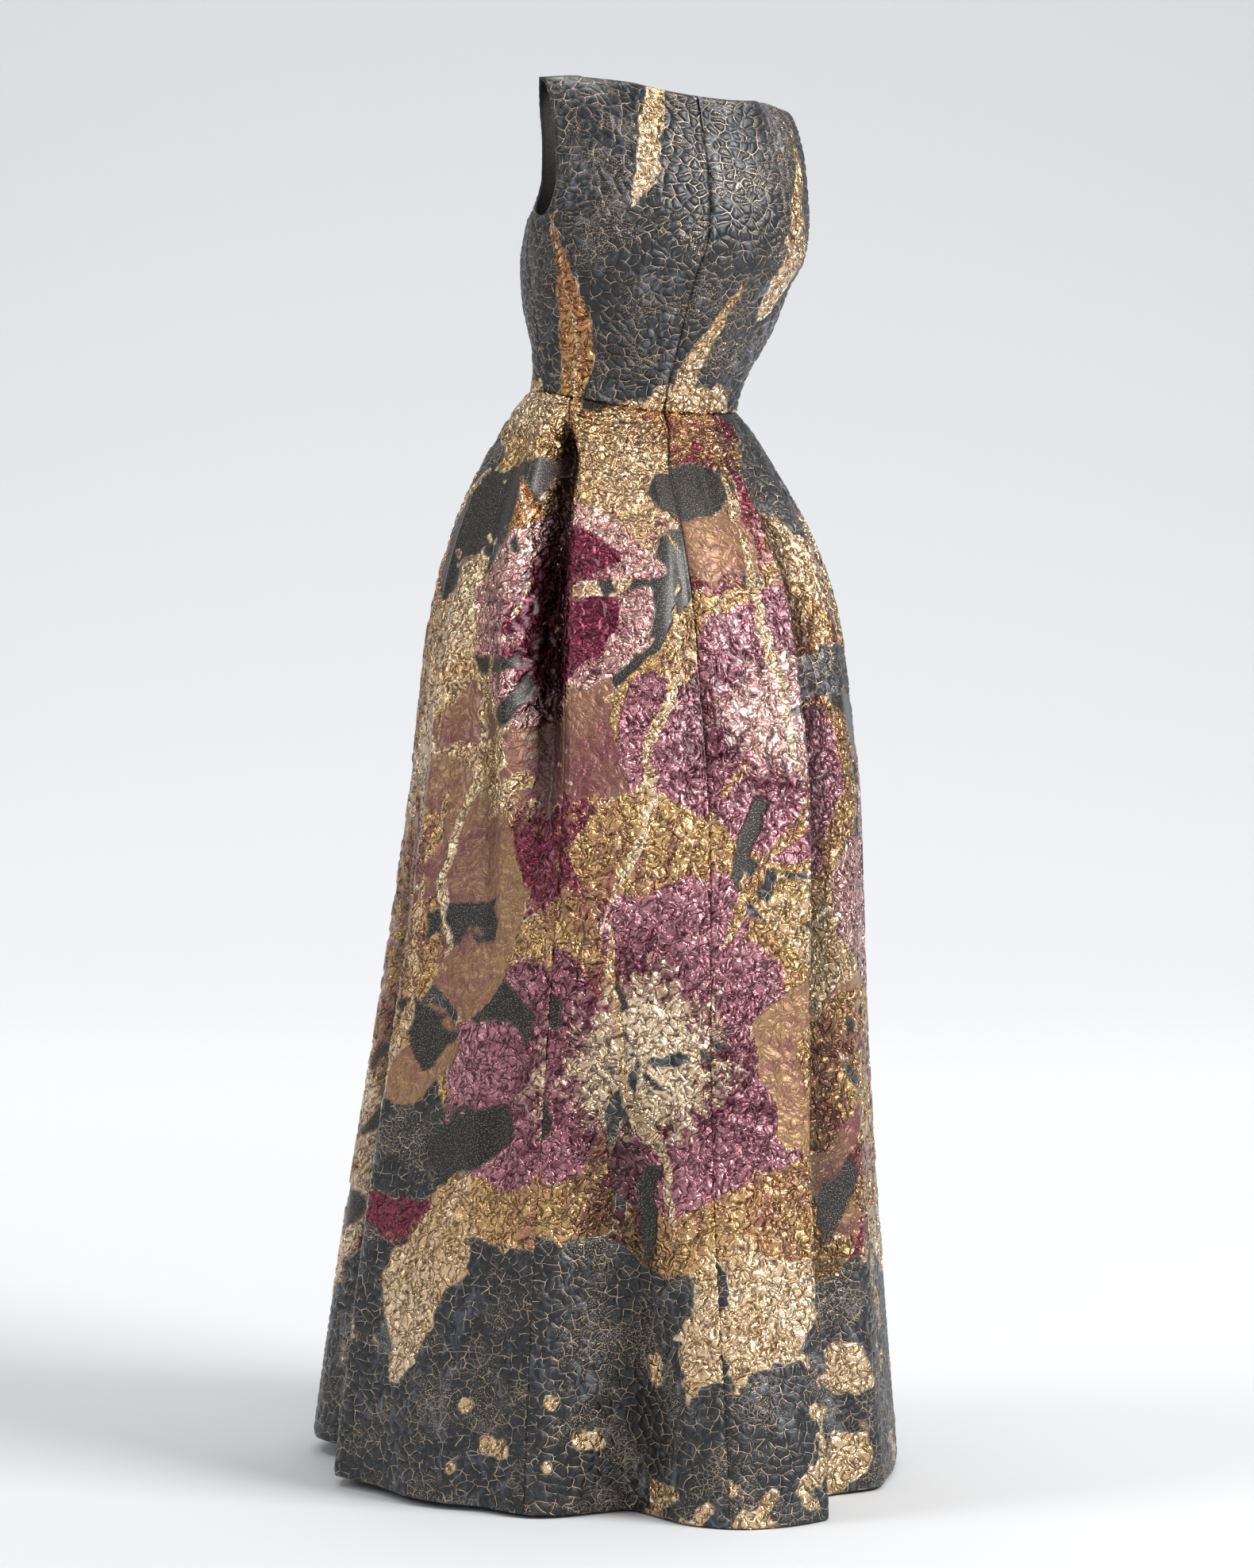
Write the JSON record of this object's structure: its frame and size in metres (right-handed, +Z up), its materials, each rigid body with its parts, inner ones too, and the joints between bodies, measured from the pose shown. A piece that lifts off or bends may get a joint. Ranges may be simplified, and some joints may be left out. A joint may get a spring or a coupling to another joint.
{
  "type": "ball gown",
  "caption": "Sleeveless floor-length ball gown with a wide neckline, darted bodice, full pleated skirt and centre back zip, in dark and metallic blistered cloth, in its worn form.",
  "frame": {"origin": "midway between the two shoulder seams, where the wearer holds the gown up", "axes": "+Z up, the front faces -Y, the wearer's left is +X"},
  "size_m": [0.6578, 0.8059, 1.5703],
  "materials": {
    "skirt_cloth": "metallic cloque with raised puckers",
    "bodice_cloth": "dark blistered satin with fine metallic thread",
    "zip_tape": "fine knitted tape",
    "zip_metal": "dark lacquered metal"
  },
  "bodies": {
    "gown": {"skirt_back_left": "skirt_cloth", "skirt_side_left": "skirt_cloth", "skirt_front": "skirt_cloth", "skirt_side_right": "skirt_cloth", "skirt_back_right": "skirt_cloth", "bodice_back_left": "bodice_cloth", "bodice_back_right": "bodice_cloth", "bodice_front": "bodice_cloth", "zip_tape_left": "zip_tape", "zip_tape_right": "zip_tape", "zip_slider": "zip_metal"},
    "zip_pull": {"zip_pull_tab": "zip_metal"}
  },
  "joints": [
    {"name": "zip_pull_swing", "type": "hinge", "parent": "gown", "child": "zip_pull", "pos_m": [-0.0047, 0.09968, -0.01071], "axis": [0.9997, 0.0227, -0.0131], "range_deg": [0, 150]}
  ]
}
